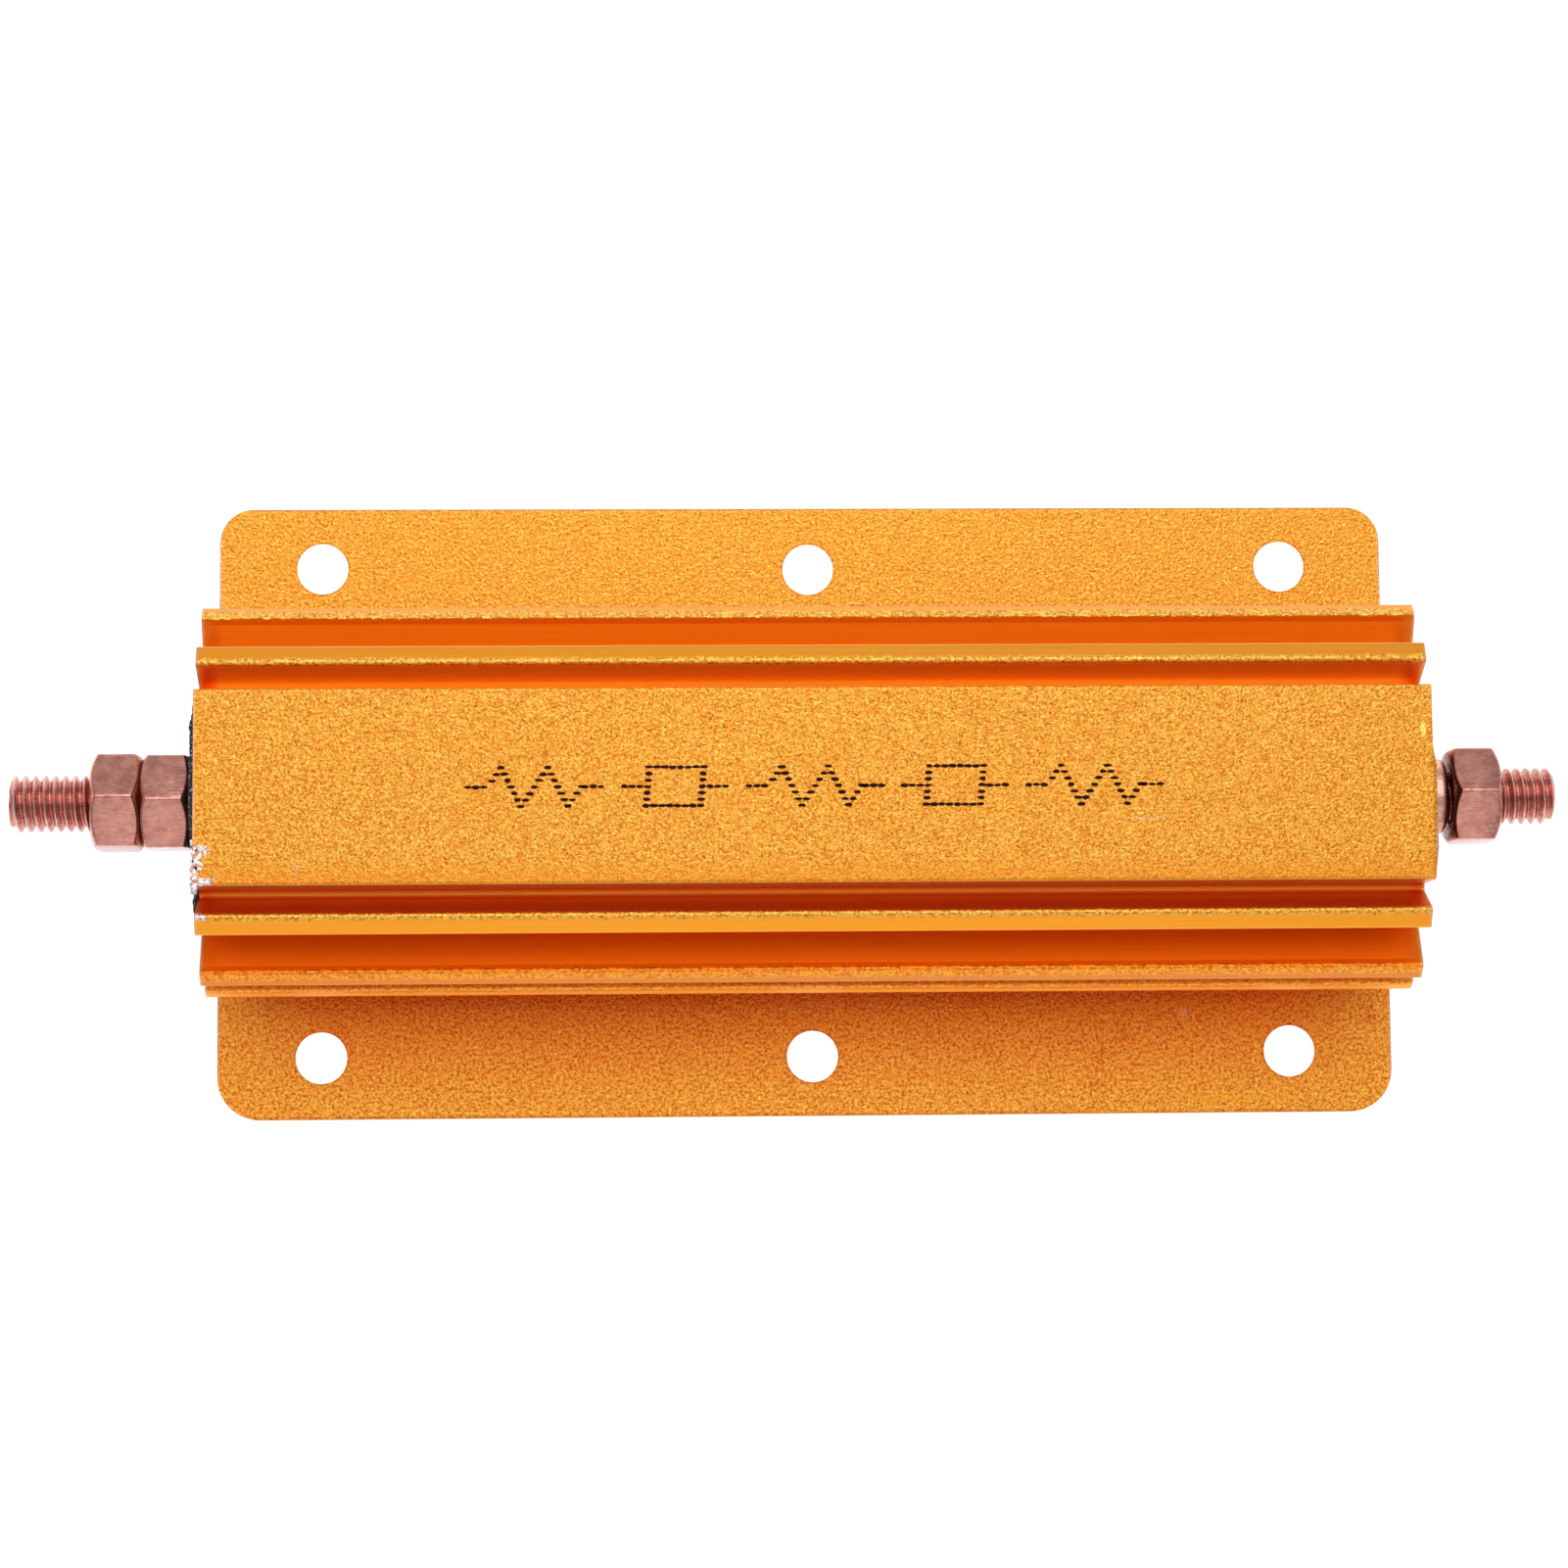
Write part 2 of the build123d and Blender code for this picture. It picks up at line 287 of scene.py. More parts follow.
class GoldFinish(Finish):
    """Gold anodising, with the distances that its masks are drawn from."""

    def __init__(self):
        super().__init__("gold_anodising", Metallic=1.0)
        self.side = self.math("ABSOLUTE", self.y)
        self.end = self.math("ABSOLUTE", self.x)
        self.section = self.node("ShaderNodeCombineXYZ", X=self.side, Y=self.z).outputs[0]
        self.front = self.step(self.y, 0.1, -0.1)
        self.wander = self.scale(self.noise(0.6, detail=3.0), 0.3, 0.7, -0.2, 0.2)

    def near(self, centre, reach, fray=None):
        """1 close to a place in the section."""
        away = self.vector("DISTANCE", self.section, (*centre, 0.0))
        if fray is not None:
            away = self.math("ADD", away, fray)
        return self.step(away, *reach)

    def end_face(self, inner, outer):
        """1 on the end face of a fin."""
        inner, outer = Vector((*inner, 0.0)), Vector((*outer, 0.0))
        along = (outer - inner).normalized()
        half_width = (outer - inner).length / 2
        place = self.vector("SUBTRACT", self.section, tuple((inner + outer) / 2))
        beside = self.math("ABSOLUTE", self.vector("DOT_PRODUCT", place, tuple(along)))
        off = self.math("ABSOLUTE", self.vector("DOT_PRODUCT", place, (-along.y, along.x, 0.0)))
        return self.both(self.step(beside, half_width + 0.1, half_width - 0.1),
                         self.step(off, *BAND_THICKNESS))

    def fin_masks(self):
        """Blasted strips, painted highlights on the outer edges, and whole end faces of the fins."""
        strips, edge_highlights, bands = [], [], []
        for inner, outer, strip, highlight_strength in FIN_ENDS:
            strips.append(self.near(strip, STRIP_REACH, self.wander))
            edge_highlights.append(self.math("MULTIPLY", self.near(outer, EDGE_HIGHLIGHT_REACH), highlight_strength))
            bands.append(self.end_face(inner, outer))
        return self.either(*strips), self.either(*edge_highlights), self.either(*bands)

    def blasted_pattern(self, size, dark, light, contrast, dots_strength):
        """Height and colour of a blasted face: dented all over, with dark pits and pale glints."""
        grain = self.noise(size, detail=2.0, roughness=0.7)
        coarse = self.noise(3 * size, detail=1.0, shift=(3.0, 7.0, 0.0))
        speck = self.scale(self.blend(0.07, grain, coarse), 0.5 - contrast, 0.5 + contrast)
        colour = self.mix(speck, dark, light)
        dots = self.noise(0.8 * size, detail=1.0, shift=(9.0, 2.0, 0.0))
        colour = self.covered(colour, self.step(dots, 0.6, 0.7), PIT, dots_strength)
        colour = self.covered(colour, self.step(dots, 0.4, 0.3), GLINT, dots_strength)
        return grain, colour

    def top_face(self):
        """Grain and colour of the block's top, more orange along its front edge, a painted shade."""
        grain, colour = self.blasted_pattern(*TOP_PATTERN)
        # Painted shade along the front edge of the top
        margin = self.both(self.step(self.y, *FRONT_MARGIN), self.step(self.y, *FRONT_CORNER))
        return grain, self.covered(colour, margin, rgb(236, 142, 40), 0.5)

    def flange_faces(self):
        """Grain and colour of the flanges. The front one is painted redder, with stronger glints, and redder
        still beside the body, a painted shadow and reflection of it.
        """
        grain, colour = self.blasted_pattern(*FLANGE_PATTERN)
        body_shadow_and_reflection = self.both(self.scale(self.y, *BODY_SHADOW_AND_REFLECTION_ACROSS, 0.0, 0.8),
                            self.step(self.end, *BODY_SHADOW_AND_REFLECTION_ALONG, 0.25, 1.0))
        factor = self.mix(body_shadow_and_reflection, FRONT_FACTOR, SHADOW_AND_REFLECTION_FACTOR)
        # Painted glints: the grain's contrast is raised on the front flange only
        factor = self.vector("SCALE", factor, self.scale(grain, 0.36, 0.64, 0.78, 1.26))
        factor = self.mix(self.front, (1.0, 1.0, 1.0, 1.0), factor)
        return grain, self.vector("MULTIPLY", colour, factor)

    def strip_colour(self, grain):
        """Colour of the blasted strips on the fins: orange on the lower ones of the front, a painted shade,
        else yellow.
        """
        # Painted shade: the lower strips on the front are more orange
        yellower = self.either(self.step(self.z, 22.5, 23.5), self.math("SUBTRACT", 1.0, self.front))
        light = self.mix(yellower, rgb(255, 172, 60), rgb(255, 206, 92))
        dark = self.mix(yellower, rgb(224, 116, 30), rgb(216, 126, 38))
        return self.mix(self.scale(grain, 0.4, 0.56), dark, light)

    def drawn_faces(self, bands):
        """Colour of the drawn faces: fine lines along the die's travel. Painted light and shade on them:
        grooves and block sides toned apart on front and back, dark spots in corners, and more orange by the
        saw cuts.
        """
        lines = self.noise(0.2, detail=1.0, stretch=(80, 1, 1))
        colour = self.mix(self.scale(lines, 0.3, 0.7), rgb(251, 160, 46), rgb(255, 168, 52))
        off_underside = self.step(self.z, 1.0, 2.0)
        # Painted light: the fins and grooves beyond the block get a paler tone on the front than on the back,
        # by how light reaches each side
        groove = self.both(self.step(self.side, *GROOVE_BESIDE_BLOCK),
                           self.step(self.z, body_top - 0.4, body_top - 0.8), off_underside)
        colour = self.covered(colour, groove, self.mix(self.front, rgb(255, 214, 108), rgb(243, 158, 80)))
        # Painted light: the block's sides are toned apart on front and back in the same way
        block_side = self.both(self.step(self.side, *BLOCK_SIDE),
                               self.step(self.z, body_top - 0.3, body_top - 0.6), off_underside)
        colour = self.covered(colour, block_side, self.mix(self.front, rgb(250, 158, 66), rgb(250, 156, 60)))
        # Painted shade in the front corner at the block's foot
        foot = self.both(self.near(BLOCK_FOOT, FOOT_REACH), self.front)
        colour = self.covered(colour, foot, rgb(172, 74, 22))
        # Painted shade: the groove's darker orange along the inner edge of the middle fin's top
        colour = self.covered(colour, self.near(MIDDLE_FIN_TOP, FIN_TOP_REACH), rgb(232, 122, 22))
        low_edge = self.both(self.near(MIDDLE_FIN_LOW_EDGE, LOW_EDGE_REACH), self.front)
        colour = self.covered(colour, low_edge, rgb(222, 134, 66), 0.9)
        # Painted shade: more orange towards the saw cuts, leaving out the fins' end faces
        near_cut = self.step(self.math("ADD", self.end, self.wander), half_body - 2.2, half_body - 0.5)
        near_cut = self.both(near_cut, self.math("SUBTRACT", 1.0, bands))
        return self.covered(colour, near_cut, rgb(240, 122, 24), 0.85)

    def pale_edges(self, colour, top, edge_highlights):
        """Colour with its pale rims by the saw cuts, a painted sheen where the surface is seen edge on,
        painted highlights on the fins' outer edges at the back, and painted shade along the outer edges of
        the flanges.
        """
        frayed_end = self.math("ADD", self.end, self.math("MULTIPLY", self.wander, 0.4))
        top_right = self.both(top, self.step(self.x, 0.0, 1.0))
        rim = self.both(self.step(frayed_end, half_body - 0.28, half_body - 0.14),
                        self.math("SUBTRACT", 1.0, top_right))
        colour = self.covered(colour, rim, rgb(240, 176, 132), 0.7)
        # Painted sheen: paler where the surface is seen edge on
        colour = self.covered(colour, self.step(self.grazing, 0.85, 0.98), rgb(244, 190, 160), 0.6)
        # Painted highlight on the outer edges of the fins, on the back only
        on_back = self.step(self.front, 0.6, 0.4)
        colour = self.covered(colour, self.both(edge_highlights, on_back), rgb(214, 146, 104))
        # Painted shade: a dark line along the outer edges of the flanges
        flange_edge_shade = self.both(self.step(self.side, body_high.y - 0.16, body_high.y - 0.08),
                                self.step(self.z, FLANGE_TOP - 0.3, FLANGE_TOP - 0.2))
        return self.covered(colour, flange_edge_shade, rgb(160, 74, 34), 0.7)

    def marks_of_use(self, colour):
        """Colour with smudges, scuffs and long marks, a notch at the right end and chips at the left one."""
        ragged = self.scale(self.noise(0.8, detail=3.0), 0.3, 0.7, -0.6, 0.6)
        smear = self.scale(self.noise(0.5, detail=2.0), 0.35, 0.65, -0.9, 0.9)
        for marks, tone, strength in ((SMUDGES, rgb(186, 70, 22), 0.3), (SCUFFS, rgb(236, 190, 160), 0.5)):
            for centre, radius in marks:
                colour = self.covered(colour, self.spot(centre, radius, smear), tone, strength)
        for centre, squeeze, reach, tone, strength in LONG_MARKS:
            colour = self.covered(colour, self.step(self.away(centre, squeeze), *reach), tone, strength)
        notch = self.away(NOTCH_PLACE, NOTCH_SQUEEZE)
        notch = self.math("ADD", notch, self.math("MULTIPLY", ragged, 0.12))
        colour = self.covered(colour, self.step(notch, *NOTCH_REACH), rgb(255, 222, 104))
        chips = self.either(*(self.spot(centre, radius, ragged) for centre, radius in CHIPS))
        flakes = self.noise(0.5, detail=2.0, shift=(1.0, 4.0, 0.0))
        chipped = self.mix(self.step(flakes, 0.42, 0.55), rgb(206, 150, 128), rgb(246, 238, 240))
        return self.covered(colour, chips, chipped)

    def hole_walls(self, colour):
        """Colour with the walls of the holes: drilled after the blasting, nearly bare, with a painted shade
        round the rim.
        """
        corner_place = self.node("ShaderNodeCombineXYZ", X=self.end, Y=self.side).outputs[0]
        corner_hole = self.vector("DISTANCE", corner_place, (hole_x, hole_y, 0.0))
        shift_x, shift_y = MIDDLE_HOLE_SHIFT
        row = self.math("ABSOLUTE", self.math("SUBTRACT", self.y, shift_y))
        middle_place = self.node("ShaderNodeCombineXYZ", X=self.x, Y=row).outputs[0]
        middle_hole = self.vector("DISTANCE", middle_place, (shift_x, hole_y, 0.0))
        nearest = self.math("MINIMUM", corner_hole, middle_hole)
        # Painted shade round the rim of each hole
        rim = self.step(nearest, HOLE_RADIUS + 0.25, HOLE_RADIUS + 0.1)
        colour = self.covered(colour, rim, rgb(168, 88, 40), 0.3)
        walls = self.both(self.step(nearest, HOLE_RADIUS + 0.1, HOLE_RADIUS + 0.05),
                          self.step(self.z, FLANGE_TOP - 0.02, FLANGE_TOP - 0.1))
        return self.covered(colour, walls, rgb(255, 253, 252), 0.95)

    def sawn_ends(self, colour, sawn, saw_lines):
        """Colour with the sawn end faces and the pale rim of the lip that the saw left."""
        colour = self.covered(colour, sawn, self.mix(saw_lines, rgb(214, 124, 60), rgb(240, 162, 96)))
        lip_rim = self.both(self.step(self.x, half_body + 0.1, half_body + 0.2),
                            self.step(self.y, -3.0, -6.0))
        return self.covered(colour, lip_rim, rgb(246, 206, 196), 0.7)


def gold_anodising():
    """Gold anodised aluminium: blasted where the shot fell on it from above, drawn smooth elsewhere."""
    gold = GoldFinish()
    strips, edge_highlights, bands = gold.fin_masks()
    top = gold.step(gold.z, body_top - 0.3, body_top - 0.1)
    flanges = gold.both(gold.step(gold.z, FLANGE_TOP + 0.4, FLANGE_TOP + 0.1),
                        gold.step(gold.side, *FLANGE_START))
    blasted = gold.either(strips, top, flanges)

    top_grain, top_colour = gold.top_face()
    flange_grain, flange_colour = gold.flange_faces()
    blasted_colour = gold.covered(top_colour, flanges, flange_colour)
    blasted_colour = gold.covered(blasted_colour, strips, gold.strip_colour(flange_grain))
    colour = gold.mix(blasted, gold.drawn_faces(bands), blasted_colour)
    colour = gold.pale_edges(colour, top, edge_highlights)
    colour = gold.marks_of_use(colour)
    colour = gold.hole_walls(colour)
    sawn = gold.both(gold.step(gold.end, half_body - 0.04, half_body - 0.01),
                     gold.step(gold.end, half_body + 0.03, half_body + 0.01))
    saw_lines = gold.noise(0.25, detail=3.0, stretch=(1, 1, 40))
    gold.colour(gold.sawn_ends(colour, sawn, saw_lines))

    rough = gold.blend(blasted, 0.38, gold.scale(top_grain, 0.3, 0.7, 0.38, 0.52))
    gold.roughness(gold.blend(sawn, rough, 0.42))
    gold.relief(gold.both(gold.blend(flanges, top_grain, flange_grain), blasted), 0.11)
    gold.relief(gold.both(saw_lines, sawn), 0.04)
    return gold.material


# Other finishes of this object

CREST_RADIUS = 2.88


def copper_plate():
    """Copper plating over turned steel: satin, blotched, with faint lines, pale where seen edge on, a painted
    sheen; painted light and shade on the thread, between the nuts and on the right collar.
    """
    copper = Finish("copper_plate", Metallic=1.0)
    blotches = copper.noise(1.3, detail=4.0, roughness=0.65)
    lines = copper.noise(0.2, detail=2.0, stretch=(7, 1, 1))
    pits = copper.noise(0.3, detail=2.0, stretch=(2, 1, 1))
    colour = copper.mix(copper.scale(blotches, 0.38, 0.62), rgb(190, 130, 118), rgb(220, 157, 142))
    colour = copper.covered(colour, copper.scale(lines, 0.35, 0.65), rgb(186, 112, 96), 0.25)
    colour = copper.covered(colour, copper.scale(pits, 0.6, 0.72), rgb(152, 92, 84), 0.5)

    # Painted shade deep in the thread and a painted highlight on its tops
    from_axis = copper.away((0.0, 0.0, bore_height), (0.0, 1.0, 1.0))
    valley_shade = copper.step(from_axis, CREST_RADIUS - 0.1, CREST_RADIUS - 0.35)
    colour = copper.covered(colour, valley_shade, rgb(206, 132, 124), 0.7)
    crest_highlight = copper.both(copper.step(from_axis, CREST_RADIUS + 0.2, CREST_RADIUS + 0.1),
                         copper.step(from_axis, CREST_RADIUS - 0.12, CREST_RADIUS - 0.04))
    colour = copper.covered(colour, crest_highlight, rgb(250, 214, 204), 0.6)

    # Painted shade behind the right nut and in the joint of the left nuts, and a painted highlight on the
    # right collar, weaker on its front
    nut_face = right_nut_box[0].x
    recess_shade = copper.both(copper.step(copper.x, neck_end_right - 0.4, neck_end_right),
                         copper.step(copper.x, nut_face + 0.35, nut_face))
    colour = copper.covered(colour, recess_shade, rgb(96, 46, 46), 0.7)
    from_joint = copper.math("ABSOLUTE", copper.math("SUBTRACT", copper.x, outer_nut_box[1].x))
    colour = copper.covered(colour, copper.step(from_joint, 0.4, 0.1), rgb(168, 124, 108), 0.6)
    # Painted highlight on the right collar
    collar = copper.both(copper.step(copper.x, half_body + 0.05, half_body + 0.1),
                         copper.step(copper.x, neck_end_right - 0.5, neck_end_right - 0.9),
                         copper.step(copper.y, -3.0, -1.2, 0.15, 0.7))
    colour = copper.covered(colour, collar, rgb(252, 200, 182))

    # Painted sheen where the nuts and the neck are seen edge on, and painted shade where the thread is
    thread = copper.step(from_axis, CREST_RADIUS + 0.4, CREST_RADIUS + 0.1)
    edge_sheen_and_shade = copper.mix(thread, rgb(230, 220, 230), rgb(120, 80, 82))
    colour = copper.covered(colour, copper.step(copper.grazing, 0.8, 0.94), edge_sheen_and_shade, 0.8)
    copper.colour(colour)
    copper.roughness(copper.scale(copper.blend(0.5, blotches, lines), 0.35, 0.65, 0.2, 0.36))
    copper.relief(lines, 0.02)
    copper.relief(pits, 0.03)
    return copper.material


def black_cement():
    """Cement smeared by hand: matt black, gritty, with pale flecks."""
    cement = Finish("black_cement", Specular_IOR_Level=0.35)
    grit = cement.noise(0.3, detail=4.0, roughness=0.7)
    flecks = cement.noise(0.22, detail=1.0, shift=(5.0, 0.0, 2.0))
    colour = cement.mix(grit, rgb(22, 19, 24), rgb(58, 52, 60))
    cement.colour(cement.covered(colour, cement.step(flecks, 0.62, 0.68), rgb(196, 182, 200)))
    cement.roughness(cement.scale(grit, 0.3, 0.7, 0.55, 0.85))
    cement.relief(grit, 0.12)
    return cement.material


def bare_aluminium():
    """Torn metal where the oxide is gone."""
    bare = Finish("bare_aluminium", Metallic=1.0)
    tears = bare.noise(0.3, detail=3.0)
    bare.colour(bare.mix(bare.scale(tears, 0.35, 0.65), rgb(214, 172, 158), rgb(244, 242, 246)))
    bare.roughness(bare.scale(tears, 0.3, 0.7, 0.25, 0.45))
    bare.relief(tears, 0.05)
    return bare.material


def marking_ink():
    """Dark ink that soaked into the blasted face, so its grain shows through."""
    ink = Finish("marking_ink", Specular_IOR_Level=0.1)
    grain = ink.noise(0.2, detail=2.0)
    ink.colour(ink.mix(ink.scale(grain, 0.3, 0.7), rgb(22, 2, 8), rgb(70, 18, 18)))
    ink.roughness(ink.scale(grain, 0.3, 0.7, 0.6, 0.85))
    ink.relief(grain, 0.03)
    return ink.material


def plain_finish(name, dark, light, lump, roughness, metallic=0.0):
    """Finish of a piece hidden inside the bore: one colour, slightly cloudy."""
    plain = Finish(name, Metallic=metallic)
    clouds = plain.noise(lump, detail=3.0)
    plain.colour(plain.mix(clouds, dark, light))
    plain.roughness(plain.scale(clouds, 0.3, 0.7, roughness - 0.08, roughness + 0.08))
    plain.relief(clouds, 0.03)
    return plain.material


gold = gold_anodising()
copper = copper_plate()
cement = black_cement()
ink = marking_ink()
bare = bare_aluminium()
cap_steel = plain_finish("cap_steel", rgb(168, 168, 170), rgb(196, 196, 198), 1.0, 0.35, 1.0)
node_finishes = {
    "housing": gold,
    "ceramic_core": plain_finish("steatite", rgb(222, 216, 204), rgb(238, 233, 223), 2.0, 0.6),
    "resistance_winding": plain_finish("resistance_wire", rgb(120, 117, 110), rgb(160, 156, 148), 0.5, 0.35,
                                       1.0),
    "insulating_fill": plain_finish("filling_cement", rgb(168, 162, 150), rgb(196, 190, 178), 0.8, 0.85),
    "end_cap_left": cap_steel,
    "end_cap_right": cap_steel,
}
for node, finish in node_finishes.items():
    frame["nodes"][node].data.materials.clear()
    frame["nodes"][node].data.materials.append(finish)


# Small helpers for pieces


def finished_piece(name, shape, finish, nodes=(), sharp=30.0):
    """Makes a bmesh in millimetres a piece of the part, smooth but for edges over sharp degrees."""
    bmesh.ops.scale(shape, vec=(MM, MM, MM), verts=shape.verts)
    mesh = bpy.data.meshes.new(name)
    shape.to_mesh(mesh)
    shape.free()
    mesh.shade_smooth()
    mesh.set_sharp_from_angle(angle=radians(sharp))
    mesh.materials.append(finish)
    piece = bpy.data.objects.new(name, mesh)
    bpy.context.scene.collection.objects.link(piece)
    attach(piece, "root")
    if nodes:
        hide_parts(*nodes)
    return piece


def turned(profile, steps, start_angle=90.0):
    """Closed ring or rod turned about the bore axis from an outline of (place along X, radius) points."""
    shape = bmesh.new()
    up = radians(start_angle)
    corners = [shape.verts.new((x, radius * cos(up), radius * sin(up))) for x, radius in profile]
    closed = profile[0][1] > 0
    pairs = list(zip(corners, corners[1:])) + ([(corners[-1], corners[0])] if closed else [])
    edges = [shape.edges.new(pair) for pair in pairs]
    bmesh.ops.spin(shape, geom=corners + edges, cent=(0, 0, 0), axis=(1, 0, 0), dvec=(0, 0, 0),
                   angle=2 * pi, steps=steps, use_merge=True, use_normal_flip=False, use_duplicate=False)
    bmesh.ops.remove_doubles(shape, verts=shape.verts, dist=0.0005)
    bmesh.ops.recalc_face_normals(shape, faces=shape.faces)
    return shape


def lifted_to_bore(shape):
    bmesh.ops.translate(shape, vec=(0, 0, bore_height), verts=shape.verts)
    return shape


def ring_place(vert):
    """Angle round the bore axis and radius of a vertex that isn't lifted yet."""
    return atan2(vert.co.z, vert.co.y), hypot(vert.co.y, vert.co.z)


def set_ring_place(vert, x, angle, radius):
    vert.co = (x, radius * cos(angle), radius * sin(angle))


def extruded_verts(shape, faces):
    """Vertices of the copy that an extrusion of these faces makes, to be moved apart from the faces."""
    made = bmesh.ops.extrude_face_region(shape, geom=faces)["geom"]
    return {item for item in made if isinstance(item, bmesh.types.BMVert)}


def as_object(name, shape):
    mesh = bpy.data.meshes.new(name)
    shape.to_mesh(mesh)
    shape.free()
    made = bpy.data.objects.new(name, mesh)
    bpy.context.scene.collection.objects.link(made)
    return made


def united(first, second):
    """One closed shape of two that run into each other."""
    keep, tool = as_object("keep", first), as_object("tool", second)
    cut = keep.modifiers.new("united", "BOOLEAN")
    cut.operation = "UNION"
    cut.solver = "EXACT"
    cut.object = tool
    bpy.context.view_layer.update()
    evaluated = keep.evaluated_get(bpy.context.evaluated_depsgraph_get())
    shape = bmesh.new()
    shape.from_mesh(evaluated.to_mesh())
    evaluated.to_mesh_clear()
    for used in (keep, tool):
        mesh = used.data
        bpy.data.objects.remove(used)
        bpy.data.meshes.remove(mesh)
    return shape


# Terminal studs with their M6 thread

PITCH = 1.0
ROOT_RADIUS = 2.3
CREST_HALF_WIDTH = 0.07
ROOT_HALF_WIDTH = 0.09
THREAD_ROUND = 0.03
TIP_CHAMFER = 0.55
TIP_LENGTH = 0.45
STEPS_PER_TURN = 48
COLLAR_ROUND = 0.75
COLLAR_STEPS = 6
NECK_STEPS = 96
LEFT_CREST, RIGHT_CREST = -73.94, 71.18


def threaded_rod(start, end, crest, tip_side):
    """Right-handed thread from start to end along X, with a crest at that place on the +Y side."""
    first = start - PITCH + ((crest - PITCH / 2 - start) % PITCH) - PITCH
    turns = int(end - first) // 1 + 3
    half = PITCH / 2
    outline = [
        (-half, ROOT_RADIUS - THREAD_ROUND), (-half + ROOT_HALF_WIDTH, ROOT_RADIUS),
        (-CREST_HALF_WIDTH, CREST_RADIUS - THREAD_ROUND), (0, CREST_RADIUS),
        (CREST_HALF_WIDTH, CREST_RADIUS - THREAD_ROUND),
        (half - ROOT_HALF_WIDTH, ROOT_RADIUS), (half, ROOT_RADIUS - THREAD_ROUND),
    ]
    rod = bmesh.new()
    corners = [rod.verts.new((first + half + x, radius, 0)) for x, radius in outline]
    edges = [rod.edges.new(pair) for pair in zip(corners, corners[1:])]
    bmesh.ops.spin(rod, geom=corners + edges, cent=(0, 0, 0), axis=(1, 0, 0),
                   dvec=(PITCH / STEPS_PER_TURN, 0, 0), angle=2 * pi * turns, steps=turns * STEPS_PER_TURN,
                   use_merge=False, use_normal_flip=False, use_duplicate=False)
    bmesh.ops.remove_doubles(rod, verts=rod.verts, dist=0.002)
    for place, outward in ((start, LEFT), (end, RIGHT)):
        cut = bmesh.ops.bisect_plane(rod, geom=rod.verts[:] + rod.edges[:] + rod.faces[:], dist=0.0001,
                                     plane_co=(place, 0, 0), plane_no=(outward, 0, 0), clear_outer=True)
        rim = [item for item in cut["geom_cut"] if isinstance(item, bmesh.types.BMEdge)]
        bmesh.ops.holes_fill(rod, edges=rim, sides=0)
    tip = end if tip_side == RIGHT else start
    for vert in rod.verts:
        angle, radius = ring_place(vert)
        allowed = CREST_RADIUS - TIP_CHAMFER * (1 - abs(tip - vert.co.x) / TIP_LENGTH)
        if radius > allowed:
            set_ring_place(vert, vert.co.x, angle, allowed)
    bmesh.ops.recalc_face_normals(rod, faces=rod.faces)
    return rod


def terminal_stud(name, side, box, neck_end, crest):
    """Plain neck out of the seal, with a rounded shoulder, and the thread beyond it."""
    root = box[1].x if side == LEFT else box[0].x
    tip = box[0].x if side == LEFT else box[1].x
    shoulder = []
    for i in range(COLLAR_STEPS + 1):
        turn = radians(90 / COLLAR_STEPS * i)
        back = COLLAR_ROUND * (1 - sin(turn))
        shoulder.append((neck_end - side * back, neck_radius - COLLAR_ROUND * (1 - cos(turn))))
    neck = turned([(root, 0), (root, neck_radius)] + shoulder + [(neck_end, 0)], NECK_STEPS)
    inside = neck_end - side * PITCH / 2
    rod = threaded_rod(min(inside, tip), max(inside, tip), crest, side)
    stud = lifted_to_bore(united(rod, neck))
    return finished_piece(name, stud, copper, [name], sharp=40)


terminal_stud("terminal_stud_left", LEFT, left_stud_box, left_seal_box[0].x, LEFT_CREST)
terminal_stud("terminal_stud_right", RIGHT, right_stud_box, neck_end_right, RIGHT_CREST)


# Nuts

NUT_STEPS = 72
NUT_FLAT = 4.65
NUT_FACE_INSET = 0.3
NUT_CHAMFER_SLOPE = 32.0
NUT_BORE = 2.93
NUT_MOUTH = 0.35
NUT_EDGE_ROUND = 0.17


def hexagon_nut(name, box, turn):
    """Nut with its flats, the cone that cuts their corners at both faces, and softly rounded edges."""
    inner, outer = box[0].x, box[1].x
    face = NUT_FLAT - NUT_FACE_INSET
    rim = NUT_FLAT + 0.1
    nut = turned([(inner, NUT_BORE + NUT_MOUTH), (inner, face), (inner + 0.2, rim), (outer - 0.2, rim),
                  (outer, face), (outer, NUT_BORE + NUT_MOUTH), (outer - NUT_MOUTH, NUT_BORE),
                  (inner + NUT_MOUTH, NUT_BORE)], NUT_STEPS, 90 - turn)
    slope = tan(radians(NUT_CHAMFER_SLOPE))
    for vert in nut.verts:
        angle, radius = ring_place(vert)
        if radius < rim - 0.01:
            continue
        from_corner = (angle - radians(90 - turn)) % radians(60)
        flat_radius = NUT_FLAT / cos(from_corner - radians(30))
        chamfer = (flat_radius - face) * slope
        x = inner + chamfer if vert.co.x < (inner + outer) / 2 else outer - chamfer
        set_ring_place(vert, x, angle, flat_radius)
    bmesh.ops.recalc_face_normals(nut, faces=nut.faces)
    rounded = []
    for edge in nut.edges:
        radii = [ring_place(vert)[1] for vert in edge.verts]
        if min(radii) < rim - 0.11:
            continue
        along = abs(edge.verts[0].co.x - edge.verts[1].co.x) > 2
        at_corner = min(radii) > NUT_FLAT / cos(radians(30)) - 0.01
        if at_corner or not along:
            rounded.append(edge)
    bmesh.ops.bevel(nut, geom=rounded, offset=NUT_EDGE_ROUND, offset_type="OFFSET", affect="EDGES",
                    segments=3, profile=0.5, material=-1, clamp_overlap=True)
    return finished_piece(name, lifted_to_bore(nut), copper, [name], sharp=35)


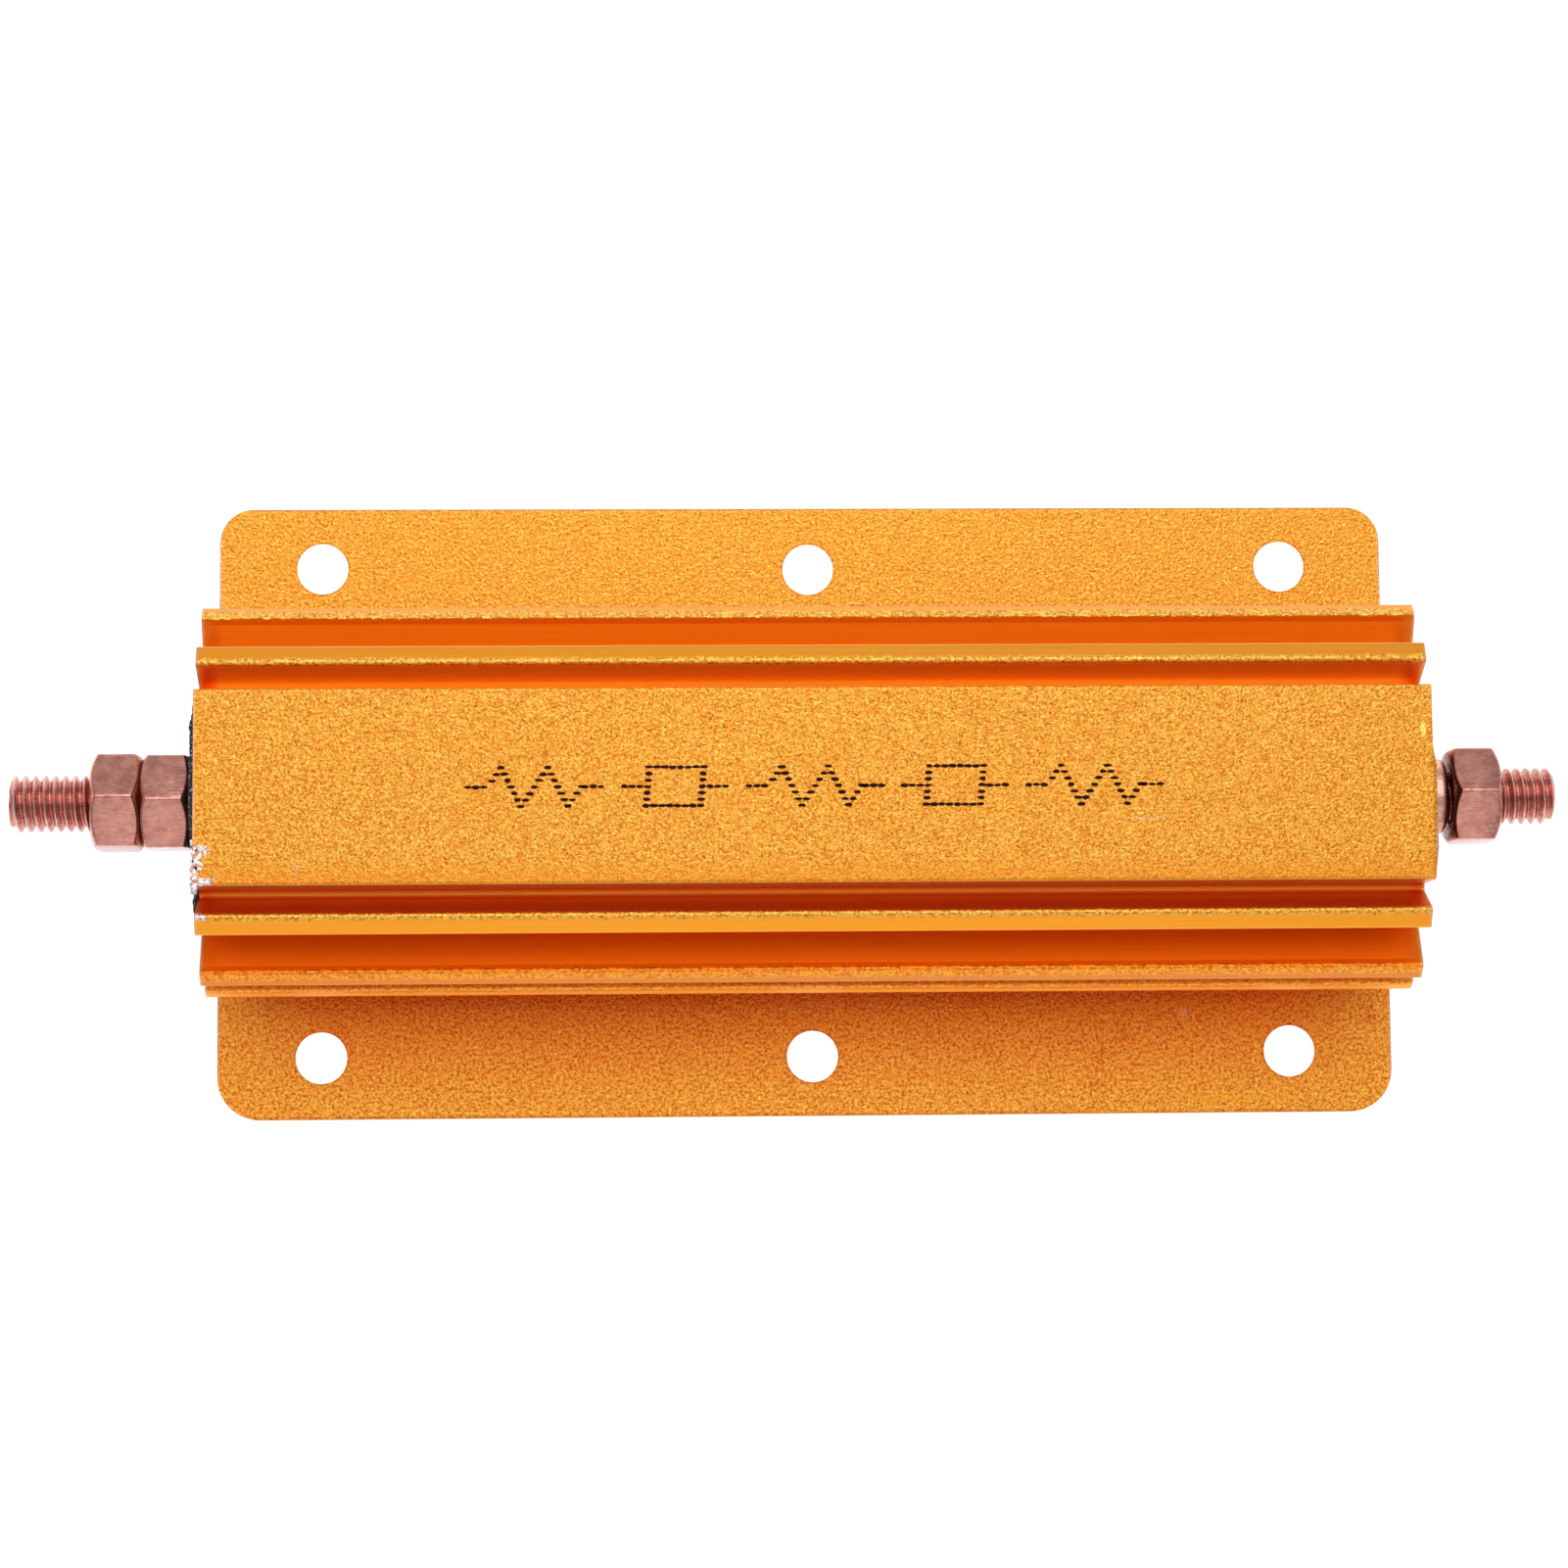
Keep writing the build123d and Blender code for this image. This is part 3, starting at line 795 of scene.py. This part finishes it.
hexagon_nut("inner_nut_left", inner_nut_box, -0.9)
hexagon_nut("outer_nut_left", outer_nut_box, 2.5)
hexagon_nut("nut_right", right_nut_box, 1.3)


# Cement seals, smear and drip

SEAL_STEPS = 128
SEAL_RADIUS = 9.15
STUD_GAP = 0.05
HEAP_BASE = 10.5
HEAP_CROWN = 5.1
HEAP_LIP = 0.3
DISH_RINGS = 16


def left_seal():
    """Cement heaped over the end face round the stud, rough and ragged at its rim."""
    inner, face = left_seal_box[1].x, left_seal_box[0].x
    height = abs(face) - half_body
    heap = [(-half_body - HEAP_LIP * i / 3, HEAP_BASE - 0.1 * i) for i in range(4)]
    for i in range(1, 19):
        share = i / 18
        heap.append((-half_body - HEAP_LIP - (height - HEAP_LIP) * share,
                     HEAP_BASE - 0.3 - (HEAP_BASE - 0.3 - HEAP_CROWN) * share))
    heap += [(face, HEAP_CROWN - 0.3 * i) for i in range(1, 4)]
    outline = [(inner, neck_radius + STUD_GAP), (inner, SEAL_RADIUS), (-half_body, SEAL_RADIUS)]
    seal = turned(outline + heap + [(face, neck_radius + STUD_GAP)], SEAL_STEPS)
    for vert in seal.verts:
        angle, radius = ring_place(vert)
        if vert.co.x > -half_body - 0.01 and radius < HEAP_BASE - 0.01:
            continue
        around = Vector((cos(angle), sin(angle), 0))
        ragged = noise.noise(around * 4) * 0.5 + noise.noise(around * 13) * 0.25
        lump = noise.noise(Vector((vert.co.y, vert.co.z, 1)) * 1.1) * 0.2
        grit = noise.noise(Vector((vert.co.y, vert.co.z, 5)) * 3.5) * 0.12
        rim_share = max(0.0, min(1.0, (radius - 5.0) / 5.0))
        out = max(0.0, min(1.0, (-half_body - vert.co.x) / 0.3))
        x = vert.co.x + out * (lump + grit) * (0.3 + rim_share)
        if radius < HEAP_CROWN + 0.2:
            x = max(x, face)
        x = min(x, -half_body)
        set_ring_place(vert, x, angle, radius + rim_share * ragged)
    lifted_to_bore(seal)
    return finished_piece("end_seal_left", seal, cement, ["end_seal_left"], 60)


def right_seal():
    """The same cement, a little below the end of the body, dished by the tool that wiped it."""
    inner, face = right_seal_box[0].x, right_seal_box[1].x
    width = SEAL_RADIUS - neck_radius - STUD_GAP
    dish = [(face, SEAL_RADIUS - width * i / DISH_RINGS) for i in range(DISH_RINGS + 1)]
    seal = turned([(inner, neck_radius + STUD_GAP), (inner, SEAL_RADIUS)] + dish, SEAL_STEPS)
    for vert in seal.verts:
        if vert.co.x < face - 0.01:
            continue
        lump = noise.noise(Vector((vert.co.y, vert.co.z, 9)) * 0.8) * 0.2
        grit = noise.noise(Vector((vert.co.y, vert.co.z, 3)) * 3.5) * 0.1
        vert.co.x = min(face, face - 0.15 + lump + grit)
    lifted_to_bore(seal)
    return finished_piece("end_seal_right", seal, cement, ["end_seal_right"], 60)


SMEAR_MIDDLE = 0.9
SMEAR_HALF_SIZE = (7.4, 4.3)
SMEAR_CELLS = (72, 30)
SMEAR_THICKNESS = 0.46
SMEAR_RAGGED = 0.7
DRIP_HALF_SIZE = (0.42, 1.2, 1.5)
DRIP_PLACE = (-half_body - 0.16, -10.8, 21.2)


def cement_smear():
    """Film of cement wiped up the left end face to the edge of the block, frayed to nothing at its rim."""
    half_width, half_height = SMEAR_HALF_SIZE
    film = bmesh.new()
    bmesh.ops.create_grid(film, x_segments=SMEAR_CELLS[0], y_segments=SMEAR_CELLS[1], size=1.0)
    raised = extruded_verts(film, film.faces[:])
    for vert in film.verts:
        across, up = vert.co.x, vert.co.y
        place = Vector((across * half_width, up * half_height, 3.0))
        rim = 1 - max(abs(across), -up) ** 4
        frayed = rim + SMEAR_RAGGED * noise.noise(place * 0.7) + SMEAR_RAGGED * 0.6 * noise.noise(place * 2.3)
        depth = max(-0.1, min(SMEAR_THICKNESS, SMEAR_THICKNESS * frayed))
        depth *= 0.8 + 0.4 * noise.noise(place * 5)
        x = -half_body - (depth if vert in raised else -0.15)
        vert.co = (x, SMEAR_MIDDLE + place.x, body_top - 0.1 - half_height + place.y)
    bmesh.ops.recalc_face_normals(film, faces=film.faces)
    return finished_piece("cement_smear", film, cement, sharp=60)


def cement_drip():
    """Lump of cement left in the corner between the block and the upper fin of the front."""
    lump = bmesh.new()
    bmesh.ops.create_icosphere(lump, subdivisions=4, radius=1.0)
    for vert in lump.verts:
        rough = 1 + 0.25 * noise.noise(vert.co * 2.0) + 0.1 * noise.noise(vert.co * 6.0)
        vert.co = Vector([size * c for size, c in zip(DRIP_HALF_SIZE, vert.co)]) * rough
        vert.co += Vector(DRIP_PLACE)
    return finished_piece("cement_drip", lump, cement, sharp=60)


left_seal()
right_seal()
cement_smear()
cement_drip()


# Marks of the saw on the block's edges

LIP_MIDDLE, LIP_HALF_LENGTH = -2.98, 6.58
LIP_REACH = 0.36
LIP_ROOT = 0.25
LIP_RISE = 0.004
FLAKES = 16
FLAKES_START, FLAKES_LENGTH = -5.3, 4.7


def saw_lip():
    """Thin lip that the saw pushed over the right edge of the block."""
    lip = bmesh.new()
    bmesh.ops.create_grid(lip, x_segments=3, y_segments=90, size=1.0)
    raised = extruded_verts(lip, lip.faces[:])
    for vert in lip.verts:
        outward, along = (vert.co.x + 1) / 2, vert.co.y
        y = LIP_MIDDLE + LIP_HALF_LENGTH * along
        reach = LIP_REACH * min(1.0, 3.5 * (1 - along), 2.2 * (1 + along))
        reach += 0.05 * noise.noise(Vector((y, 0, 7)) * 1.6)
        x = half_body - LIP_ROOT + outward * (LIP_ROOT + max(0.02, reach))
        depth = 0.12 * outward ** 3 if vert in raised else 0.5 - 0.15 * outward
        vert.co = (x, y, body_top + LIP_RISE - depth)
    bmesh.ops.recalc_face_normals(lip, faces=lip.faces)
    return finished_piece("saw_lip", lip, gold, sharp=60)


def burr():
    """Torn flakes of bare metal along the block's left edge."""
    draw = random.Random(11)
    flakes = bmesh.new()
    for i in range(FLAKES):
        along = FLAKES_START - FLAKES_LENGTH * i / (FLAKES - 1)
        made = bmesh.ops.create_icosphere(flakes, subdivisions=1, radius=1.0)
        size = (draw.uniform(0.25, 0.6), draw.uniform(0.25, 0.5), draw.uniform(0.08, 0.18))
        turn = Euler((draw.uniform(-0.6, 0.6), draw.uniform(-0.5, 0.5), draw.uniform(-1.2, 1.2)))
        for vert in made["verts"]:
            rough = [draw.uniform(0.7, 1.25) * c for c in vert.co]
            vert.co = Vector([c * s for c, s in zip(rough, size)])
            vert.co.rotate(turn)
            vert.co += Vector((-half_body + draw.uniform(0.0, 0.1) + 0.15, along, body_top - 0.12))
            vert.co.z = min(vert.co.z, body_top)
    bmesh.ops.recalc_face_normals(flakes, faces=flakes.faces)
    return finished_piece("burr", flakes, bare, sharp=15)


saw_lip()
burr()


# Marking: a dot-printed row of resistor signs, without words or numbers

MARK_LEFT = -34.0
MARK_CENTRE = -0.15
MARK_HEIGHT = 0.006
ROW_PITCH, COLUMN_PITCH = 0.63, 0.76
MIDDLE_ROW, LAST_ROW = 3, 6
MARK_LEAN = 0.09
DASH = (0.78, 0.37)


def mark_cells():
    """Columns and rows of the dashes: leads, zigzags and boxes, as on a circuit drawing."""
    cells = []

    def lead(column, length):
        cells.extend((column + i, MIDDLE_ROW) for i in range(length))
        return column + length

    def zigzag(column, peaks):
        path = [2, 1, 0, 1, 2, 3, 4, 5, 6, 5, 4, 3]
        for i in range(12 * peaks):
            cells.append((column + i * 0.5, path[i % 12]))
        return column + 6 * peaks

    def box(column, length):
        cells.extend((column + i, row) for i in range(length) for row in (0, LAST_ROW))
        cells.extend((column + i, row) for i in (0, length - 1) for row in range(1, LAST_ROW))
        return column + length

    column = 0
    for sign, size in ((zigzag, 2), (box, 8), (zigzag, 2), (box, 8), (zigzag, 2)):
        column = lead(column, 3)
        column = sign(column, size)
        column = lead(column, 3) + 2
    return cells


def marking():
    """Thin dashes of ink on top of the block."""
    draw = random.Random(4)
    dashes = bmesh.new()
    for column, row in mark_cells():
        up = (MIDDLE_ROW - row) * ROW_PITCH
        x = MARK_LEFT + column * COLUMN_PITCH + up * MARK_LEAN
        y = MARK_CENTRE + up
        made = bmesh.ops.create_circle(dashes, cap_ends=True, segments=10, radius=0.5)
        long = DASH[0] * draw.uniform(0.9, 1.12)
        wide = DASH[1] * draw.uniform(0.85, 1.2)
        bmesh.ops.scale(dashes, vec=(long, wide, 1), verts=made["verts"])
        for vert in made["verts"]:
            vert.co.x *= 1 + draw.uniform(-0.1, 0.1)
            vert.co.y *= 1 + draw.uniform(-0.15, 0.15)
        place = (x, y + draw.uniform(-0.03, 0.03), body_top + MARK_HEIGHT)
        bmesh.ops.translate(dashes, vec=place, verts=made["verts"])
    return finished_piece("marking", dashes, ink)


marking()


# Floor, lamps, world and camera

FLOOR_COLOUR = (0.35, 0.35, 0.35, 1)
FLOOR_GLOW = 0.9
WORLD_LEVEL = 0.45


def floor():
    """Pale floor that shows white, and keeps the object's shadow."""
    shape = bmesh.new()
    bmesh.ops.create_grid(shape, x_segments=1, y_segments=1, size=3.0)
    piece = as_object("floor", shape)
    material = bpy.data.materials.new("pale_floor")
    material.use_nodes = True
    shade = Nodes(material.node_tree)
    path = shade.node("ShaderNodeLightPath").outputs
    seen = shade.math("MULTIPLY", path["Is Camera Ray"], FLOOR_GLOW)
    mirrored = shade.math("MAXIMUM", path["Is Glossy Ray"], path["Is Transmission Ray"])
    glow = shade.node("ShaderNodeEmission", Strength=shade.math("MAXIMUM", seen, mirrored))
    matt = shade.node("ShaderNodeBsdfDiffuse", Color=FLOOR_COLOUR)
    together = shade.node("ShaderNodeAddShader")
    shade.put(together.inputs[0], matt.outputs[0])
    shade.put(together.inputs[1], glow.outputs[0])
    shade.node("ShaderNodeOutputMaterial", Surface=together.outputs[0])
    piece.data.materials.append(material)


def lamp(name, place, size, power, aim=(0, 0, 12)):
    """Soft lamp, size (length, height) in metres, that faces the object."""
    light = bpy.data.lights.new(name, "AREA")
    light.shape = "RECTANGLE"
    light.size, light.size_y = size
    light.energy = power
    holder = bpy.data.objects.new(name, light)
    holder.location = Vector(place) * MM
    holder.rotation_euler = (Vector(place) - Vector(aim)).to_track_quat("Z", "Y").to_euler()
    bpy.context.scene.collection.objects.link(holder)


def world():
    """Even pale surroundings, white where the camera sees them."""
    made = bpy.data.worlds.new("surroundings")
    bpy.context.scene.world = made
    made.use_nodes = True
    shade = Nodes(made.node_tree)
    path = shade.node("ShaderNodeLightPath").outputs
    level = shade.node("ShaderNodeMapRange", Value=path["Is Camera Ray"], To_Min=WORLD_LEVEL, To_Max=1.0)
    background = shade.node("ShaderNodeBackground", Strength=level.outputs[0])
    shade.node("ShaderNodeOutputWorld", Surface=background.outputs[0])


def camera():
    """The photograph's view, solved from the six holes and the long edges of the body."""
    lens = bpy.data.cameras.new("camera")
    lens.sensor_width = 36.0
    lens.lens = 92.02
    lens.clip_start = 0.01
    holder = bpy.data.objects.new("camera", lens)
    holder.location = Vector((-19.133, -40.731, 416.560)) * MM
    holder.rotation_euler = Euler([radians(a) for a in (6.0045, -2.2892, -0.5273)], "XYZ")
    bpy.context.scene.collection.objects.link(holder)
    bpy.context.scene.camera = holder


floor()
world()
camera()
lamp("overhead_lamp", (2, 270, 700), (0.95, 0.65), 2.65)
lamp("key_lamp", (0, 430, 600), (0.06, 0.06), 0.6)
lamp("back_lamp", (0, 640, 340), (0.7, 0.7), 0.4)
lamp("front_lamp", (0, -620, 420), (0.7, 0.7), 1.08)
bpy.context.scene.view_settings.view_transform = "Standard"
